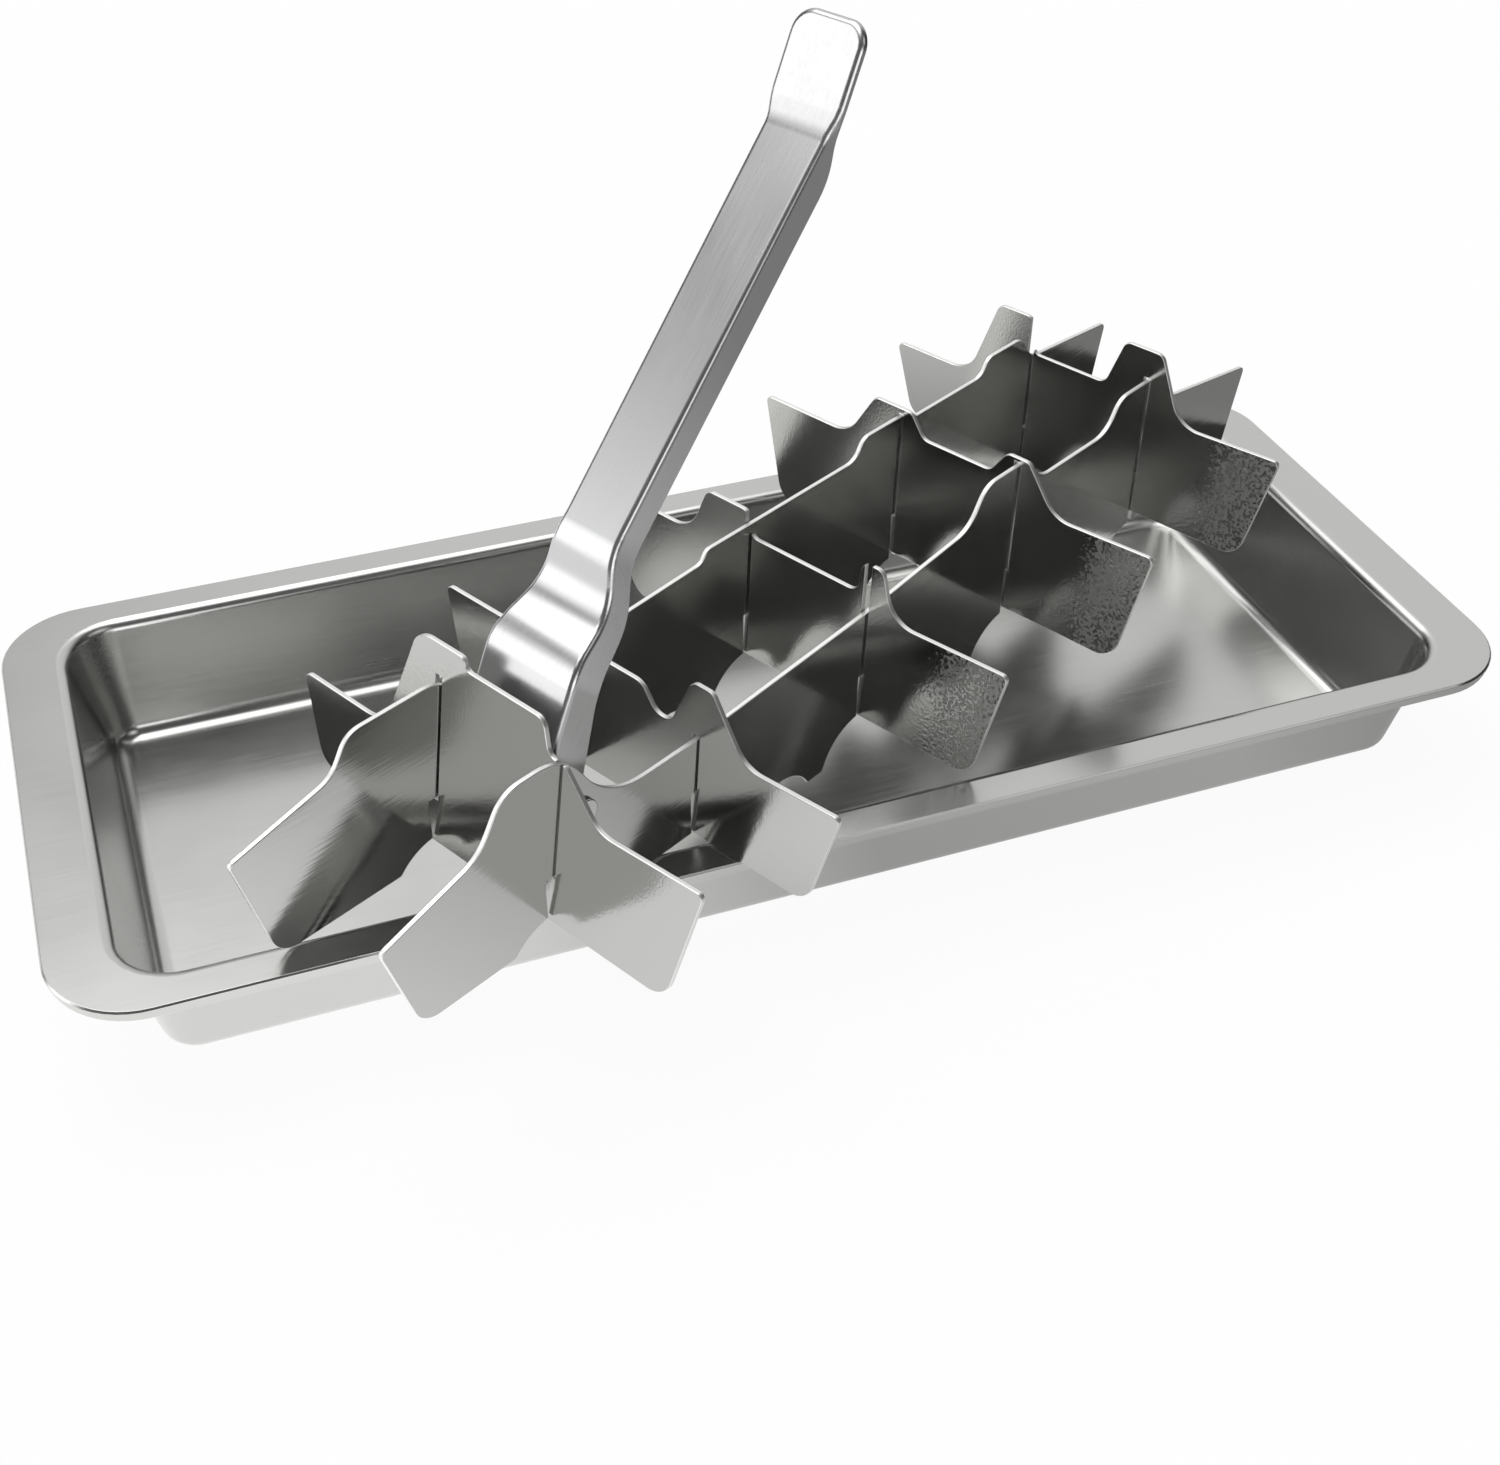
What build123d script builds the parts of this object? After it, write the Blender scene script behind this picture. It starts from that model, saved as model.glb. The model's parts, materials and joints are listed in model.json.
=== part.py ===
from build123d import *
from collections import namedtuple
from math import atan, cos, degrees, radians, sin, tan
import os

os.makedirs("parts", exist_ok=True)

# Tray pan, in millimetres: outside of the rim, opening and depth
rim_length = 285.0
rim_width = 119.0
rim_corner = 16.5
tray_height = 26.0
end_rim = 12.0
side_rim = 8.0
opening_corner = 11.0
wall_draft = 5.5
tray_sheet = 0.9
floor_fillet = 3.6
lip_radius = 2.4
rim_edge_bevel = 0.35
hem_height = 1.8
hem_width = 2.4
hem_inset = 0.3
hem_round = 0.8

# The grid of dividers lies turned on the tray's rim
grid_turn = 27.4
grid_x = 4.7
grid_y = -14.4
seat_gap = 0.3

# Sheet and cells of the grid
plate = 1.0
row_spacing = 29.5
cell_length = 46.0
first_cell = 34.8
slot_clearance = 0.3
web_height = 9.0
end_corner = 5.0
tip_round = 1.2

# Long dividers: how far they run past the outer crossings, and their levels
near_left_overhang = 34.8
near_right_overhang = 41.5
far_left_overhang = 40.7
far_right_overhang = 28.6
near_left_end = 20.2
near_right_end = 21.5
far_left_end = 24.2
far_right_end = 26.8
end_lean = 6.0
near_levels = [26.5, 20.6, 23.4, 26.9, 28.2, 27.2]
far_levels = [29.2, 26.2, 27.4, 29.8, 32.0, 29.6]
near_crest = 34.7
far_crest = 34.0
first_crest = 36.0
far_end_crest = 35.6

# How far the crests reach before and after their crossings
near_crests = [(8.0, 5.0), (9.5, 4.5), (10.0, 4.5)]
far_crests = [(15.0, 5.0), (11.0, 6.0), (11.0, 4.0), (16.0, -4.0)]
flank_slope = 0.62
flank_round = 1.0
crest_round = 0.7
foot_depth = 8.0
arch_radius = 11.0
first_arch_rise = 4.0
scallop_radius = 9.0
scallop_rise = 5.0

# Cross dividers, from the lever's end to the free end
leans = [8.9, 4.7, 3.0, 2.0, 1.0]
lifts = [3.0, 0.0, 0.0, 1.5, 3.2]
middles = [38.0, 25.6, 27.0, 29.4, 27.2]
near_reach = 47.5
far_reach = 51.0
wing_taper = 5.5
wing_rise = 1.0
wing_sweep = 7.0
tab_round = 2.0
tab_foot_round = 2.5
dip_run = 0.8
dip_foot_round = 3.0
dip_edge_round = 4.0

# One side of a cross divider: its wing, the tab's two corners and the foot of its inner side
Side = namedtuple("Side", "wing start tab outside inside foot dip top_round", defaults=[0.0, 2.2])
near_sides = [
    Side(wing=23.2, start=24.5, tab=31.8, outside=15.8, inside=12.2, foot=10.4),
    Side(wing=20.2, start=26.0, tab=31.6, outside=17.8, inside=13.0, foot=8.4, dip=4.6),
    Side(wing=24.0, start=21.0, tab=33.8, outside=18.0, inside=13.2, foot=12.6),
    Side(wing=25.0, start=24.5, tab=34.6, outside=17.2, inside=12.0, foot=8.4),
    Side(wing=24.0, start=23.5, tab=38.2, outside=17.4, inside=8.4, foot=4.6),
]
far_sides = [
    Side(wing=17.4, start=28.5, tab=40.2, outside=20.4, inside=8.8, foot=8.0, top_round=4.5),
    Side(wing=22.0, start=29.0, tab=34.0, outside=24.0, inside=15.0, foot=14.4),
    Side(wing=21.8, start=30.0, tab=32.4, outside=26.0, inside=15.0, foot=14.4),
    Side(wing=23.4, start=28.0, tab=34.2, outside=21.5, inside=12.0, foot=8.4),
    Side(wing=16.8, start=30.5, tab=35.4, outside=24.0, inside=15.0, foot=14.4),
]

# Lever: side profile along the handle, measured from its pivot pin
pivot_offset = 8.4
pivot_height = 22.0
lever_angle = 47.2
closed_angle = 44.0
lever_sheet = 1.2
handle_rise = 13.1
handle_end = 114.0
neck_length = 3.5
neck_step = 0.8
tongue_length = 14.0
tongue_rise = 17.8
flange_depth = 5.6
flange_run_out = 5.0
base_start = 9.5
base_rise = 9.2
bump_along = 20.5
bump_rise = 12.4
dip_along = 31.0
dip_rise = 9.0
handle_start = 39.0
base_flange_drop = 1.8
base_width = 21.0
handle_width = 13.2
tongue_width = 15.3
waist_start = 18.3
waist_end = 41.5
tongue_corner = 4.2
bend_round = 12.0
waist_round = 30.0
fork_round = 2.0
ear_radius = 4.0
ear_lower = -62.0
ear_upper = 140.0
pin_radius = 1.5
pin_clearance = 0.05
head_radius = 2.6
head_thickness = 0.9
crease_radius = 1.1

# Directions and places that follow
along = Vector(cos(radians(grid_turn)), sin(radians(grid_turn)), 0)
across = Vector(-sin(radians(grid_turn)), cos(radians(grid_turn)), 0)
up = Vector(0, 0, 1)
grid_origin = Vector(grid_x, grid_y, tray_height + seat_gap)
row = row_spacing / 2
crossings = [-cell_length - first_cell, -cell_length, 0.0, cell_length, 2 * cell_length]
pivot_along = crossings[0] + pivot_offset
slot_width = plate + 2 * slot_clearance


def long_plane(offset):
    """Plane of a long divider: x runs along it, y is up."""
    return Plane(origin=grid_origin + across * offset, x_dir=along, z_dir=-across)


def cross_plane(index):
    """Plane of a cross divider, leaning about its bottom edge: x is across, y is up its lean."""
    lean = radians(leans[index])
    foot = grid_origin + along * crossings[index] + up * lifts[index]
    return Plane(origin=foot, x_dir=across, z_dir=along * cos(lean) - up * sin(lean))


def face_of(corners):
    """Closed outline from corners (x, y, radius), where no round takes half of its shorter side."""
    points = [Vector(x, y) for x, y, radius in corners]
    rounds = []
    for index, point in enumerate(points):
        before = points[index - 1] - point
        after = points[(index + 1) % len(points)] - point
        room = 0.48 * min(before.length, after.length)
        rounds.append(min(corners[index][2], room * tan(radians(before.get_angle(after) / 2))))
    with BuildLine() as outline:
        FilletPolyline(*points, radius=rounds, close=True)
    make_face(outline.edges())


def slot_swing(index):
    """How far a leaning cross divider moves along its slot, at the top of its web."""
    return web_height * sin(radians(leans[index]))


# Tray pan: drawn sheet with a flat rim, whose edge is folded under and rolled
opening_length = rim_length - 2 * end_rim
opening_width = rim_width - 2 * side_rim
shoulder = tray_height - tray_sheet
wall_angle = degrees(atan(wall_draft / shoulder))

with BuildPart() as pan_hollow:
    with BuildSketch(Plane.XY.offset(tray_height)):
        RectangleRounded(opening_length, opening_width, opening_corner)
    extrude(amount=-shoulder, taper=wall_angle)
    fillet(pan_hollow.faces().sort_by(Axis.Z)[0].edges(), floor_fillet)

with BuildPart() as tray_pan:
    with BuildSketch(Plane.XY.offset(tray_height)):
        RectangleRounded(
            opening_length + 2 * tray_sheet, opening_width + 2 * tray_sheet, opening_corner + tray_sheet
        )
    extrude(amount=-tray_height, taper=wall_angle)
    fillet(tray_pan.faces().sort_by(Axis.Z)[0].edges(), floor_fillet + tray_sheet)
    with BuildSketch(Plane.XY.offset(shoulder)):
        RectangleRounded(rim_length, rim_width, rim_corner)
    extrude(amount=tray_sheet)
    rim_sides = tray_pan.faces().sort_by(Axis.Z)[-1].outer_wire().edges()
    chamfer(rim_sides, rim_edge_bevel)
    rim_underside = tray_pan.faces().filter_by(Plane.XY).sort_by(Axis.Z)[-2]
    chamfer(rim_underside.inner_wires()[0].edges(), lip_radius - tray_sheet)
    with BuildSketch(Plane.XY.offset(shoulder - hem_height)):
        for inset, mode in ((hem_inset, Mode.ADD), (hem_inset + hem_width, Mode.SUBTRACT)):
            RectangleRounded(
                rim_length - 2 * inset, rim_width - 2 * inset, rim_corner - inset, mode=mode
            )
    extrude(amount=hem_height)
    hem_underside = tray_pan.faces().filter_by(Plane.XY).sort_by(Axis.Z)[1]
    fillet(hem_underside.outer_wire().edges(), hem_round)
    add(pan_hollow.part, mode=Mode.SUBTRACT)
    mouth = tray_pan.faces().filter_by(Plane.XY).sort_by(Axis.Z)[-1].inner_wires()[0]
    fillet(mouth.edges(), lip_radius)
tray_pan.part.label = "tray_pan"
export_step(tray_pan.part, "parts/tray_pan.step")


def hump(place, height, before, after, reach):
    """A crest over a crossing, with rounded flanks down to the levels before and after it."""
    left, right = reach
    rise = height - before
    fall = height - after
    return [
        (place - left - flank_slope * rise, before, flank_round * rise),
        (place - left, height, crest_round * rise),
        (place + right, height, crest_round * fall),
        (place + right + flank_slope * fall, after, flank_round * fall),
    ]


def long_face(left_end, top_edge, right_end):
    """Outline of a long divider: its ends as (along, height), its top edge, its feet and slots."""
    face_of(
        [(*left_end, tip_round)]
        + top_edge
        + [
            (*right_end, tip_round),
            (right_end[0] - end_lean, 0.0, end_corner),
            (left_end[0] + end_lean, 0.0, end_corner),
        ]
    )
    for start, end in zip(crossings[1:-1], crossings[2:]):
        face_of([(start, plate, 0), (end, plate, 0), (end, -foot_depth, 0), (start, -foot_depth, 0)])
        with Locations(((start + end) / 2, -foot_depth + scallop_rise - scallop_radius)):
            Circle(scallop_radius, mode=Mode.SUBTRACT)
    with Locations((crossings[0], first_arch_rise - arch_radius)):
        Circle(arch_radius, mode=Mode.SUBTRACT)
    with Locations(*[(place, -arch_radius) for place in crossings[1:]]):
        Circle(arch_radius, mode=Mode.SUBTRACT)
    for index, place in enumerate(crossings):
        top = lifts[index] + web_height + slot_clearance
        with Locations((place + slot_swing(index) / 2, top / 2 - foot_depth / 2)):
            Rectangle(slot_width + slot_swing(index), top + foot_depth, mode=Mode.SUBTRACT)
    with Locations((pivot_along, pivot_height)):
        Circle(pin_radius, mode=Mode.SUBTRACT)


near_top_edge = (
    hump(crossings[0], first_crest, near_levels[0], near_levels[1], near_crests[0])
    + [(crossings[1], near_levels[1], 0), (crossings[2], near_levels[2], 0)]
    + hump(crossings[3], near_crest, near_levels[3], near_levels[4], near_crests[1])
    + hump(crossings[4], near_crest, near_levels[4], near_levels[5], near_crests[2])
)
far_top_edge = (
    hump(crossings[0], first_crest, far_levels[0], far_levels[1], far_crests[0])
    + [(crossings[1], far_levels[1], 0)]
    + hump(crossings[2], far_levels[3], far_levels[2], far_levels[3], far_crests[1])[:2]
    + hump(crossings[3], far_crest, far_levels[3], far_levels[4], far_crests[2])
    + hump(crossings[4], far_end_crest, far_levels[4], far_levels[5], far_crests[3])
)

with BuildPart() as long_divider_near:
    with BuildSketch(long_plane(-row)):
        long_face(
            (crossings[0] - near_left_overhang, near_left_end),
            near_top_edge,
            (crossings[-1] + near_right_overhang, near_right_end),
        )
    extrude(amount=plate / 2, both=True)
long_divider_near.part.label = "long_divider_near"
export_step(long_divider_near.part, "parts/long_divider_near.step")

with BuildPart() as long_divider_far:
    with BuildSketch(long_plane(row)):
        long_face(
            (crossings[0] - far_left_overhang, far_left_end),
            far_top_edge,
            (crossings[-1] + far_right_overhang, far_right_end),
        )
    extrude(amount=plate / 2, both=True)
long_divider_far.part.label = "long_divider_far"
export_step(long_divider_far.part, "parts/long_divider_far.step")


def side_corners(side, hand, reach, rise, middle):
    """Top edge of one side of a cross divider, from its wing tip inwards; hand is -1 or 1."""
    corners = [
        (hand * (reach - wing_taper), 0.0, end_corner),
        (hand * reach, side.wing + rise, tip_round),
        (hand * side.start, side.wing, wing_sweep),
        (hand * side.outside, side.tab, side.top_round),
        (hand * side.inside, side.tab, tab_round),
        (hand * side.foot, middle - side.dip, tab_foot_round),
    ]
    if side.dip:
        corners += [
            (hand * (side.foot - dip_run * side.dip), middle - side.dip, dip_foot_round),
            (hand * (side.foot - 2 * dip_run * side.dip), middle, dip_edge_round),
        ]
    return corners


def cut_slot(side, hand, index, long_top):
    """Slot for a long divider, closed above it where the tab spans the slot."""
    top = side.tab + plate
    if side.inside < row - slot_width:
        top = (long_top - lifts[index] + 2 * slot_clearance) / cos(radians(leans[index]))
    with Locations((hand * row, (web_height + top) / 2)):
        Rectangle(slot_width, top - web_height, mode=Mode.SUBTRACT)


near_tops = [first_crest, near_levels[1], near_levels[2], near_crest, near_crest]
far_tops = [first_crest, far_levels[1], far_levels[3], far_crest, far_end_crest]

for index in range(len(crossings)):
    with BuildPart() as cross_divider:
        with BuildSketch(cross_plane(index)):
            near_corners = side_corners(near_sides[index], -1, near_reach, wing_rise, middles[index])
            far_corners = side_corners(far_sides[index], 1, far_reach, 0.0, middles[index])
            face_of(near_corners + far_corners[::-1])
            cut_slot(near_sides[index], -1, index, near_tops[index])
            cut_slot(far_sides[index], 1, index, far_tops[index])
        extrude(amount=plate / 2, both=True)
    name = f"cross_divider_{index + 1}"
    cross_divider.part.label = name
    export_step(cross_divider.part, f"parts/{name}.step")

# Lever: a channel with a wide forked base, a joggled neck and a flat finger tongue
pivot = grid_origin + along * pivot_along + up * pivot_height
handle_along = along * cos(radians(lever_angle)) + up * sin(radians(lever_angle))
handle_out = up * cos(radians(lever_angle)) - along * sin(radians(lever_angle))
side_plane = Plane(origin=pivot, x_dir=handle_along, z_dir=-across)
plan_plane = Plane(origin=pivot, x_dir=handle_along, z_dir=handle_out)


def web_corners(drop):
    """The web's line from the base to the handle's end, let down by drop."""
    return [
        (base_start, base_rise - drop, 0),
        (bump_along, bump_rise - drop, bend_round),
        (dip_along, dip_rise - drop, bend_round),
        (handle_start, handle_rise - drop, bend_round),
        (handle_end, handle_rise - drop, bend_round),
    ]


def plan_corners(half_base, half_handle, start, tip):
    """The lever seen square to its handle, as one closed outline, with the corners of its tip."""
    lower = [
        (start, -half_base, 0),
        (waist_start, -half_base, waist_round),
        (waist_end, -half_handle, waist_round),
    ] + tip
    return lower + [(x, -y, radius) for x, y, radius in reversed(lower)]


neck_end = handle_end + neck_length
tongue_end = neck_end + tongue_length
neck_rise = handle_rise + neck_step
hollow_end = handle_end - lever_sheet
hollow_start = -ear_radius - plate


def on_crease(edge):
    """Whether an edge is one of the handle's two long creases, whose round runs on to both ends."""
    place = side_plane.to_local_coords(edge @ 0.5)
    on_top = abs(place.Y - handle_rise) < pin_clearance
    return on_top and abs(abs(place.Z) - handle_width / 2) < pin_clearance


with BuildPart() as lever_hollow:
    with BuildSketch(side_plane):
        face_of(
            web_corners(lever_sheet)[:-1]
            + [
                (hollow_end, handle_rise - lever_sheet, 0),
                (hollow_end, hollow_start, 0),
                (hollow_start, hollow_start, 0),
                (hollow_start, base_rise - lever_sheet, 0),
            ]
        )
    extrude(amount=base_width, both=True)
    with BuildSketch(plan_plane):
        face_of(
            plan_corners(
                base_width / 2 - lever_sheet,
                handle_width / 2 - lever_sheet,
                hollow_start,
                [(hollow_end, lever_sheet - handle_width / 2, crease_radius)],
            )
        )
    extrude(amount=tongue_end, both=True, mode=Mode.INTERSECT)

with BuildPart() as lever:
    with BuildSketch(side_plane):
        face_of(
            web_corners(0)
            + [
                (neck_end, neck_rise, bend_round),
                (tongue_end, tongue_rise, 0),
                (tongue_end, tongue_rise - lever_sheet, 0),
                (neck_end, neck_rise - lever_sheet, bend_round),
                (handle_end - flange_run_out, handle_rise - flange_depth, bend_round),
                (handle_start, handle_rise - flange_depth, bend_round),
                (dip_along, dip_rise - flange_depth, bend_round),
                (bump_along - base_flange_drop, bump_rise - flange_depth - base_flange_drop, bend_round),
                (ear_radius * cos(radians(ear_lower)), ear_radius * sin(radians(ear_lower)), 0),
                (ear_radius * cos(radians(ear_upper)), ear_radius * sin(radians(ear_upper)), 0),
                (base_start - flange_depth, base_rise - base_flange_drop, fork_round),
            ]
        )
        Circle(ear_radius)
    extrude(amount=base_width, both=True)
    with BuildSketch(plan_plane):
        tip = [
            (handle_end, -handle_width / 2, bend_round),
            (neck_end, -tongue_width / 2, bend_round),
            (tongue_end, -tongue_width / 2, tongue_corner),
        ]
        face_of(plan_corners(base_width / 2, handle_width / 2, hollow_start, tip))
    extrude(amount=tongue_end, both=True, mode=Mode.INTERSECT)
    fillet(lever.edges().filter_by(on_crease), crease_radius)
    add(lever_hollow.part, mode=Mode.SUBTRACT)
    with BuildSketch(side_plane):
        Circle(pin_radius + pin_clearance)
    extrude(amount=base_width, both=True, mode=Mode.SUBTRACT)
lever.part.label = "lever"
export_step(lever.part, "parts/lever.step")

# Pivot pin, held in both long dividers, with a peened head at each end
with BuildPart() as pivot_pin:
    with BuildSketch(side_plane):
        Circle(pin_radius)
    extrude(amount=row + plate / 2, both=True)
    for side in (-1, 1):
        with BuildSketch(side_plane.offset(side * (row + plate / 2))):
            Circle(head_radius)
        extrude(amount=side * head_thickness)
pivot_pin.part.label = "pivot_pin"
export_step(pivot_pin.part, "parts/pivot_pin.step")
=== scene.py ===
# %% [markdown]
# An ice cube tray in stainless sheet. A grid of thin plates lies across a drawn pan, and a
# pressed lever stands up from it. The jointed solids come ready made; this lesson gives each
# piece its softened edges and its finish, then lights it on a pale floor.

# %% Load the jointed model
import bpy
import bmesh
import json
from math import atan2, cos, degrees, radians, sin
from mathutils import Matrix, Vector

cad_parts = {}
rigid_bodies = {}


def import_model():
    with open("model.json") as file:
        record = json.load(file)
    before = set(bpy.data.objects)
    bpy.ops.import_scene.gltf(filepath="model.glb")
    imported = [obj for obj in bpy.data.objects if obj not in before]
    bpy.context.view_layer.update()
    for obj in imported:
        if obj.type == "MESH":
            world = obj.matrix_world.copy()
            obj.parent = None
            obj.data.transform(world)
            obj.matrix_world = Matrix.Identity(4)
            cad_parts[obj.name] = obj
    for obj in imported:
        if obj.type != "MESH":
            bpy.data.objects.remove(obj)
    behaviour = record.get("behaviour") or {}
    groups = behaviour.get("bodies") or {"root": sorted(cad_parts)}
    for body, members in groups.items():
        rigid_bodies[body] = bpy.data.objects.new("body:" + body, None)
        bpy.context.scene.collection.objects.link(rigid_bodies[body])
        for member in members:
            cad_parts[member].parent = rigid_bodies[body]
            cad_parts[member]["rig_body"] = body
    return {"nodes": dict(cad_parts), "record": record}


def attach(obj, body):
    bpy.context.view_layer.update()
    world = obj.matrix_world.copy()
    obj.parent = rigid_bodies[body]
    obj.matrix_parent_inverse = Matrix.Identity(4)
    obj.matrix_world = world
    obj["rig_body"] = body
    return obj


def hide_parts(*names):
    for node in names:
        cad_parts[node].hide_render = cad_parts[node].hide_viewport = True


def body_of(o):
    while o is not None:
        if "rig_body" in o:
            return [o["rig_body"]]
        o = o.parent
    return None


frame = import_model()
nodes = frame["nodes"]
record = frame["record"]
slots = {part["node"]: part["material_slot"] for part in record["subparts"]}
joints = {joint["name"]: joint for joint in record["behaviour"]["joints"]}
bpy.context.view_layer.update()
MM = 0.001
print("nodes:", sorted(nodes))

# %% [markdown]
# The photograph is taken from the lever's side, a little to the left and well above the tray.
# A camera can be placed by hand or aimed at a point. Aiming is easier to read: where it
# stands, where it looks and a small roll say everything.

# %% Camera
camera_stand = Vector((-113.4, -302.1, 266.4)) * MM
camera_look = Vector((0.2718, 0.7261, -0.6316))
camera_roll = radians(0.40)
camera_lens = 47.86
sensor_width = 36.0
nearest_seen = 10 * MM

lens = bpy.data.cameras.new("camera")
lens.lens = camera_lens
lens.sensor_width = sensor_width
lens.clip_start = nearest_seen
camera = bpy.data.objects.new("camera", lens)
bpy.context.scene.collection.objects.link(camera)
aim = camera_look.to_track_quat("-Z", "Y").to_matrix().to_4x4()
camera.matrix_world = Matrix.Translation(camera_stand) @ aim @ Matrix.Rotation(camera_roll, 4, "Z")
bpy.context.scene.camera = camera
bpy.context.scene.view_settings.view_transform = "Standard"
print("camera stands at, mm:", [round(c / MM) for c in camera_stand])

# %% [markdown]
# Colours are written as the hex values that a painter would pick from the photograph. The
# shader wants linear light, so one function turns one into the other. A second function adds
# a node to a material, which keeps each finish short enough to read at a glance.


# %% Colour and node helpers
def linear(hex_colour):
    """An sRGB hex colour as linear red, green, blue and alpha."""
    parts = [int(hex_colour[i:i + 2], 16) / 255 for i in (1, 3, 5)]
    return tuple(c / 12.92 if c <= 0.04045 else ((c + 0.055) / 1.055) ** 2.4 for c in parts) + (1.0,)


def add_node(tree, kind, settings=None, links=None):
    """Adds a node, sets its properties and inputs, and joins inputs, by name or number, to sockets."""
    node = tree.nodes.new(kind)
    for name, value in (settings or {}).items():
        if isinstance(name, int) or name in node.inputs:
            node.inputs[name].default_value = value
        else:
            setattr(node, name, value)
    for name, socket in (links or {}).items():
        tree.links.new(socket, node.inputs[name])
    return node


# %% [markdown]
# Cold rolled stainless sheet keeps a faint grain from the rolls: streaks a few hundredths of a
# millimetre wide and some millimetres long. They are drawn coarser here, a few tenths wide, so
# that they show. The streaks change the roughness much more than the height. Slow cloudy
# patches, a few centimetres across, stand for the handling that every real sheet has. Seen
# across the grain, the same streaks read as fine dots, as on the cut strips of the grid.
#
# The grain could be painted as an image. A noise stretched along one direction needs no image
# and has the same real size on every piece, so it is used here.

# %% Bare stainless steel
cloud_size = 28.0
noise_spread = {"From Min": 0.3, "From Max": 0.7}
streak_change = 0.02
patch_change = 0.03


def stainless(name, colour, roughness, streak, depth, turn=(0.0, 0.0, 0.0)):
    """Bare steel with rolling streaks of (length, width) in mm, which run along a turned X."""
    material = bpy.data.materials.new(name)
    material.use_nodes = True
    tree = material.node_tree
    shader = tree.nodes["Principled BSDF"]
    shader.inputs["Base Color"].default_value = linear(colour)
    shader.inputs["Metallic"].default_value = 1.0
    place = add_node(tree, "ShaderNodeTexCoord")
    length, width = streak
    grain_space = add_node(
        tree,
        "ShaderNodeMapping",
        {"vector_type": "TEXTURE", "Rotation": turn, "Scale": (length * MM, width * MM, width * MM)},
        links={"Vector": place.outputs["Object"]},
    )
    grain = add_node(
        tree,
        "ShaderNodeTexNoise",
        {"Scale": 1.0, "Detail": 2.0},
        links={"Vector": grain_space.outputs["Vector"]},
    )
    cloud = add_node(
        tree,
        "ShaderNodeTexNoise",
        {"Scale": 1 / (cloud_size * MM), "Detail": 3.0},
        links={"Vector": place.outputs["Object"]},
    )
    streaks = add_node(
        tree,
        "ShaderNodeMapRange",
        {**noise_spread, "To Min": -streak_change, "To Max": streak_change},
        links={"Value": grain.outputs["Fac"]},
    )
    patches = add_node(
        tree,
        "ShaderNodeMapRange",
        {**noise_spread, "To Min": roughness - patch_change, "To Max": roughness + patch_change},
        links={"Value": cloud.outputs["Fac"]},
    )
    total = add_node(
        tree,
        "ShaderNodeMath",
        {"operation": "ADD"},
        links={0: streaks.outputs["Result"], 1: patches.outputs["Result"]},
    )
    tree.links.new(total.outputs["Value"], shader.inputs["Roughness"])
    relief = add_node(
        tree,
        "ShaderNodeBump",
        {"Strength": 1.0, "Distance": depth * MM},
        links={"Height": grain.outputs["Fac"]},
    )
    tree.links.new(relief.outputs["Normal"], shader.inputs["Normal"])
    return material


finishes = {}

# %% [markdown]
# The pan is drawn from satin sheet. The dies stretch and rub the metal, so its grain is long and
# very shallow, and what it mirrors spreads into broad soft tones.

# %% Satin drawn stainless, for the pan
finishes["drawn_steel"] = stainless(
    "satin_drawn_stainless", "#C6C6C4", 0.23, streak=(16.0, 0.5), depth=0.0015
)
print("pan:", finishes["drawn_steel"].name)

# %% [markdown]
# The plates are cut from bright rolled strip. It is smoother than the pan, so the cells mirror
# each other and go almost black inside, while its shorter grain stands a little higher. The grid
# lies turned on the pan, and its grain follows the long plates. Their direction is square to the
# lever's hinge, so it is read from the joint.

# %% Bright rolled stainless, for the plates
hinge = Vector(joints["lever_pivot"]["axis"])
grid_turn = atan2(-hinge.x, hinge.y)
strip_turn = (0.0, 0.0, grid_turn)
finishes["divider_steel"] = stainless(
    "bright_rolled_stainless", "#B4B4B2", 0.14, streak=(9.0, 0.5), depth=0.014, turn=strip_turn
)
print("grid turned, degrees:", round(degrees(grid_turn), 1))

# %% [markdown]
# The lever is pressed, then belt polished to a satin that runs along the handle. It is the
# roughest of the larger faces: the bends of its base show as soft bands and not as sharp
# pictures. The grain is tipped up with the handle and turned with the grid.

# %% Satin polished stainless, for the lever
lever_tilt = radians(47.2)
handle_turn = (0.0, -lever_tilt, grid_turn)
finishes["polished_steel"] = stainless(
    "satin_polished_stainless", "#C0C0C1", 0.25, streak=(12.0, 0.4), depth=0.004, turn=handle_turn
)
print("lever tipped, degrees:", round(degrees(lever_tilt), 1))

# %% [markdown]
# The pin is turned from bar. It leaves short fine marks and a bright, nearly sharp shine.

# %% Bright turned stainless, for the pin
finishes["pin_steel"] = stainless(
    "bright_turned_stainless", "#C6C6C5", 0.18, streak=(2.0, 0.4), depth=0.004, turn=strip_turn
)
print("finishes:", sorted(finishes))

# %% [markdown]
# Shears leave a torn edge, and tumbling rubs it rough. Its pale colour is a painted highlight: a pale,
# rough steel gives the eye a light line round each plate, however the plate is turned.

# %% Tumbled sheared edge, paler as a painted highlight, for the rims of the plates
edge_painted_highlight = stainless("sheared_edge_painted_highlight", "#EAEAE8", 0.42, streak=(1.0, 0.3), depth=0.003)
print("edges:", edge_painted_highlight.name)

# %% [markdown]
# The photograph shows a fine pebble on the outer part of the three near wings at the right,
# with dots well under a millimetre wide. Free wings take most of the knocks in a tumbling drum,
# so it is read as small dents, each a little duller than the sheet around it. A mask picks these
# wings by their place in the grid: its X runs along the long plates, and its Y runs across
# them, more negative towards the viewer.

# %% Pebbled wings
pebble_size = 0.7
pebble_depth = 0.05
pebble_dullness = 0.5
wing_start, wing_full = -38.0, -50.0
right_start, right_full = -30.0, -24.0
dot_floor, dot_top = 0.45, 0.58

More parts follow.
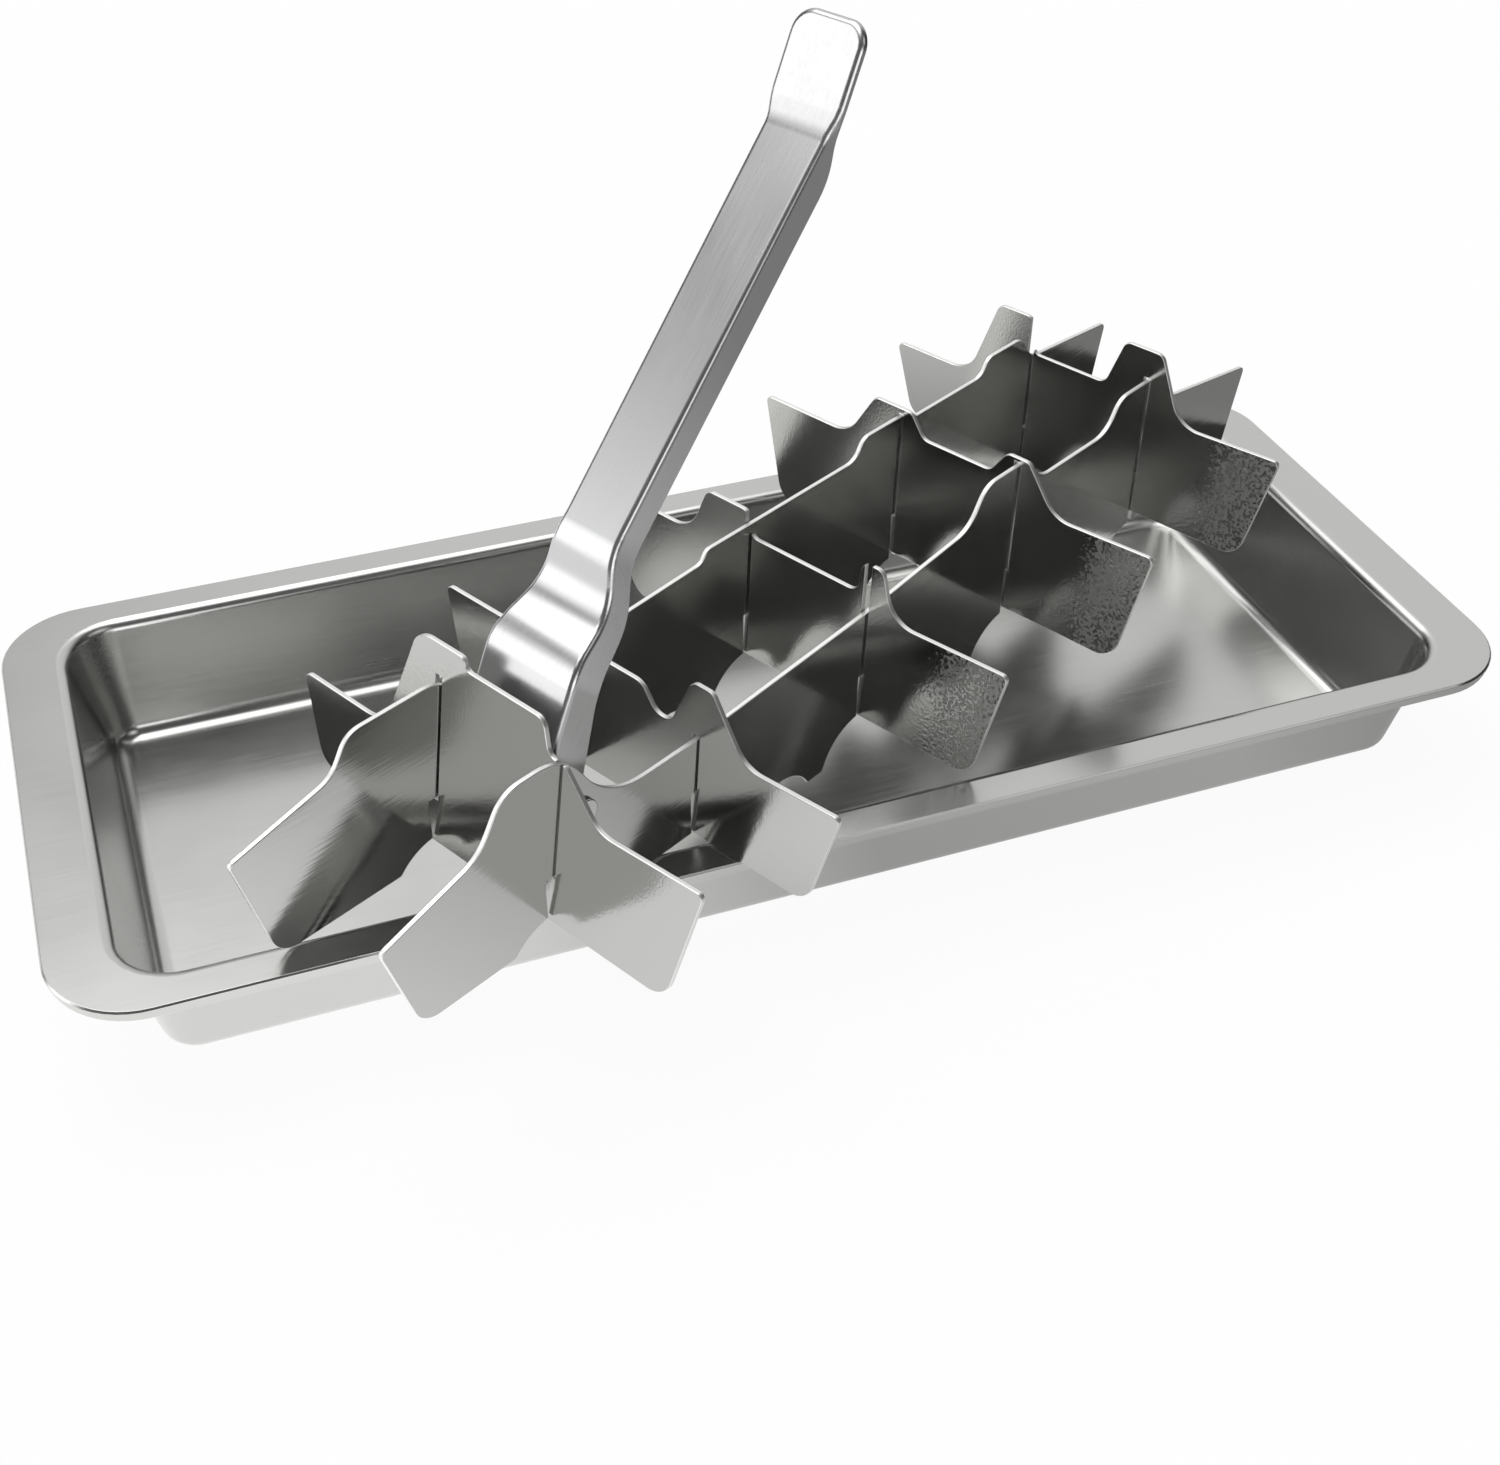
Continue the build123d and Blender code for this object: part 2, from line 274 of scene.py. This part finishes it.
pebbled = finishes["divider_steel"].node_tree
pebbled_shader = pebbled.nodes["Principled BSDF"]
pebble_place = add_node(pebbled, "ShaderNodeTexCoord")
grid_space = add_node(
    pebbled,
    "ShaderNodeMapping",
    {"vector_type": "TEXTURE", "Rotation": strip_turn},
    links={"Vector": pebble_place.outputs["Object"]},
)
grid_sides = add_node(pebbled, "ShaderNodeSeparateXYZ", links={"Vector": grid_space.outputs["Vector"]})
outward = add_node(
    pebbled,
    "ShaderNodeMapRange",
    {"From Min": wing_start * MM, "From Max": wing_full * MM},
    links={"Value": grid_sides.outputs["Y"]},
)
rightward = add_node(
    pebbled,
    "ShaderNodeMapRange",
    {"From Min": right_start * MM, "From Max": right_full * MM},
    links={"Value": grid_sides.outputs["X"]},
)
dents = add_node(
    pebbled,
    "ShaderNodeTexNoise",
    {"Scale": 1 / (pebble_size * MM), "Detail": 1.0},
    links={"Vector": pebble_place.outputs["Object"]},
)
pebble = dents.outputs["Fac"]
for mask in (outward.outputs["Result"], rightward.outputs["Result"]):
    pebble = add_node(
        pebbled, "ShaderNodeMath", {"operation": "MULTIPLY"}, links={0: pebble, 1: mask}
    ).outputs["Value"]
pebble_relief = add_node(
    pebbled,
    "ShaderNodeBump",
    {"Strength": 1.0, "Distance": pebble_depth * MM},
    links={"Height": pebble, "Normal": pebbled.nodes["Bump"].outputs["Normal"]},
)
pebbled.links.new(pebble_relief.outputs["Normal"], pebbled_shader.inputs["Normal"])
dull_dots = add_node(
    pebbled,
    "ShaderNodeMapRange",
    {"From Min": dot_floor, "From Max": dot_top, "To Min": 0.0, "To Max": pebble_dullness},
    links={"Value": pebble},
)
sheet_roughness = pebbled_shader.inputs["Roughness"].links[0].from_socket
dulled = add_node(
    pebbled,
    "ShaderNodeMath",
    {"operation": "ADD"},
    links={0: sheet_roughness, 1: dull_dots.outputs["Result"]},
)
pebbled.links.new(dulled.outputs["Value"], pebbled_shader.inputs["Roughness"])
print("pebble, mm:", pebble_size, "wide,", pebble_depth, "deep")

# %% [markdown]
# Sheared and tumbled sheet has no knife edges: each edge is rounded a few tenths of a
# millimetre, and that round catches part of the bright line seen all along the plates. The
# copy of each solid is welded, its flat facets are merged, and its corners are bevelled. On the
# plates, every face that isn't one of the two broad ones gets the sheared edge's finish, whose
# pale colour paints the rest of that bright line as a highlight.

# %% Softened edges
weld_gap = 0.002
flat_angle = radians(0.6)
corner_angle = radians(38)
bevel_steps = 3
broad_share = 0.8
one_finish = ("tray_pan", "pivot_pin", "lever")


def softened(name, radius):
    """A copy of a solid with rounded edges, which stands for it."""
    mesh = nodes[name].data.copy()
    shape = bmesh.new()
    shape.from_mesh(mesh)
    bmesh.ops.remove_doubles(shape, verts=shape.verts, dist=weld_gap * MM)
    bmesh.ops.dissolve_limit(shape, angle_limit=flat_angle, verts=shape.verts, edges=shape.edges)
    shape.to_mesh(mesh)
    shape.free()
    piece = bpy.data.objects.new(f"{name}_edged", mesh)
    bpy.context.scene.collection.objects.link(piece)
    bevel = piece.modifiers.new("edge", "BEVEL")
    bevel.width = radius * MM
    bevel.segments = bevel_steps
    bevel.limit_method = "ANGLE"
    bevel.angle_limit = corner_angle
    bevel.use_clamp_overlap = True
    graph = bpy.context.evaluated_depsgraph_get()
    final = bpy.data.meshes.new_from_object(piece.evaluated_get(graph))
    piece.modifiers.clear()
    piece.data = final
    final.shade_smooth()
    weighted = piece.modifiers.new("normals", "WEIGHTED_NORMAL")
    weighted.keep_sharp = True
    slot_name = slots[name]
    final.materials.clear()
    final.materials.append(finishes[slot_name])
    if name not in one_finish:
        # The edge faces take the pale steel, a painted highlight along each plate's rim
        final.materials.append(edge_painted_highlight)
        broad = max(final.polygons, key=lambda face: face.area).normal.copy()
        for face in final.polygons:
            face.material_index = int(abs(face.normal.dot(broad)) < broad_share)
    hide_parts(name)
    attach(piece, body_of(nodes[name])[0])
    return piece


# %% Soften every piece
plate_edge = 0.2
edge_radius = {"tray_pan": 0.3, "lever": 0.35, "pivot_pin": 0.3}
for name in sorted(nodes):
    piece = softened(name, edge_radius.get(name, plate_edge))
    print(name, "faces:", len(piece.data.polygons))

# %% [markdown]
# Bare metal has no colour of its own: it shows what stands around it. The photograph's metal
# goes from near black inside the cells to white on the finger tongue, so the studio around it
# is mostly dark, with a few large soft panels. The paper under the tray carries painted light:
# it is bright at the left and falls off to the right. The camera itself sees plain white.

# %% Paper floor
half_floor = 3.0
floor_mesh = bpy.data.meshes.new("floor")
floor_corners = [(x * half_floor, y * half_floor, 0.0) for x, y in ((-1, -1), (1, -1), (1, 1), (-1, 1))]
floor_mesh.from_pydata(floor_corners, [], [(0, 1, 2, 3)])
floor = bpy.data.objects.new("floor", floor_mesh)
bpy.context.scene.collection.objects.link(floor)
print("paper floor, m:", 2 * half_floor)

# %% [markdown]
# Uncoated paper is matt: its fibres scatter light evenly, so it mirrors nothing. Lamps could
# light it, but then each of them would show in the metal. Here the paper's light is painted: it
# glows by itself, as lit paper seems to, which leaves only a faint shadow, and the painted glow
# is less towards the right.

# %% Uncoated white paper, with painted light
bright_until, dim_from = -70.0, 200.0
paper_glow_level = 1.3
glow_in_metal, glow_in_view = 0.8, 0.94

paper = bpy.data.materials.new("white_paper_sweep")
paper.use_nodes = True
paper_tree = paper.node_tree
paper_shader = paper_tree.nodes["Principled BSDF"]
paper_shader.inputs["Base Color"].default_value = linear("#F6F6F5")
paper_shader.inputs["Roughness"].default_value = 0.9
paper_place = add_node(paper_tree, "ShaderNodeTexCoord")
paper_split = add_node(paper_tree, "ShaderNodeSeparateXYZ", links={"Vector": paper_place.outputs["Object"]})
paper_reach = add_node(
    paper_tree,
    "ShaderNodeMapRange",
    {"From Min": bright_until * MM, "From Max": dim_from * MM},
    links={"Value": paper_split.outputs["X"]},
)
# Painted light: the paper's glow fades from white at the left to grey at the right, as a lamp at the left
# would light it
paper_painted_falloff = add_node(paper_tree, "ShaderNodeValToRGB", links={"Fac": paper_reach.outputs["Result"]})
paper_stops = paper_painted_falloff.color_ramp.elements
paper_stops[0].color = linear("#FFFFFF")
paper_stops[1].color = linear("#6B6B6B")
for share, shade in ((0.3, "#B2B2B2"), (0.6, "#BCBCBC")):
    paper_stops.new(share).color = linear(shade)
paper_ray = add_node(paper_tree, "ShaderNodeLightPath")
paper_level = add_node(
    paper_tree,
    "ShaderNodeMath",
    {"operation": "MULTIPLY", 1: paper_glow_level},
    links={0: paper_painted_falloff.outputs["Color"]},
)
paper_white = add_node(
    paper_tree,
    "ShaderNodeMix",
    {"data_type": "FLOAT", 3: 1.0},
    links={0: paper_ray.outputs["Is Camera Ray"], 2: paper_level.outputs["Value"]},
)
paper_glow = add_node(
    paper_tree, "ShaderNodeEmission", {"Color": (1, 1, 1, 1)}, links={"Strength": paper_white.outputs[0]}
)
paper_share = add_node(
    paper_tree,
    "ShaderNodeMapRange",
    {"To Min": glow_in_metal, "To Max": glow_in_view},
    links={"Value": paper_ray.outputs["Is Camera Ray"]},
)
paper_mix = add_node(
    paper_tree,
    "ShaderNodeMixShader",
    links={
        0: paper_share.outputs["Result"],
        1: paper_shader.outputs["BSDF"],
        2: paper_glow.outputs["Emission"],
    },
)
paper_tree.links.new(paper_mix.outputs["Shader"], paper_tree.nodes["Material Output"].inputs["Surface"])
floor_mesh.materials.append(paper)
print("paper glow:", paper_glow_level)

# %% [markdown]
# Each panel is a soft disc of light in the surround, given by its bearing from +Y, its height
# above the horizon, the sizes of its even core and of its soft rim, all in degrees, and its
# strength. A surround is easier to place than lamps here, because a face of metal picks its
# tone by direction alone.

# %% Surround with soft panels
panels = {
    "left": (-78, 16, 4, 26, 2.1),
    "overhead": (-45, 72, 18, 36, 2.8),
    "behind": (32, 35, 12, 48, 0.82),
    "in front": (178, 8, 8, 24, 2.2),
    "front right": (144, 42, 4, 18, 0.9),
}
# The walls' own dim light, which falls from the left side to the right
wall_light = {"From Min": -0.9, "From Max": 0.8, "To Min": 0.16, "To Max": 0.04}

world = bpy.data.worlds.new("surround")
world.use_nodes = True
bpy.context.scene.world = world
sky = world.node_tree
direction = add_node(sky, "ShaderNodeTexCoord").outputs["Generated"]
sides = add_node(sky, "ShaderNodeSeparateXYZ", links={"Vector": direction})
light = add_node(
    sky, "ShaderNodeMapRange", wall_light, links={"Value": sides.outputs["X"]}
).outputs["Result"]
for bearing, height, core, rim, strength in panels.values():
    bearing, height = radians(bearing), radians(height)
    centre = (sin(bearing) * cos(height), cos(bearing) * cos(height), sin(height))
    nearness = add_node(
        sky, "ShaderNodeVectorMath", {"operation": "DOT_PRODUCT", 1: centre}, links={0: direction}
    )
    disc = add_node(
        sky,
        "ShaderNodeMapRange",
        {
            "interpolation_type": "SMOOTHSTEP",
            "From Min": cos(radians(rim)),
            "From Max": cos(radians(core)),
            "To Min": 0.0,
            "To Max": strength,
        },
        links={"Value": nearness.outputs["Value"]},
    )
    light = add_node(
        sky, "ShaderNodeMath", {"operation": "ADD"}, links={0: light, 1: disc.outputs["Result"]}
    ).outputs["Value"]
rays = add_node(sky, "ShaderNodeLightPath")
seen = add_node(
    sky, "ShaderNodeMix", {"data_type": "FLOAT", 3: 1.0}, links={0: rays.outputs["Is Camera Ray"], 2: light}
)
sky.links.new(seen.outputs[0], sky.nodes["Background"].inputs["Color"])
print("panels:", ", ".join(panels))
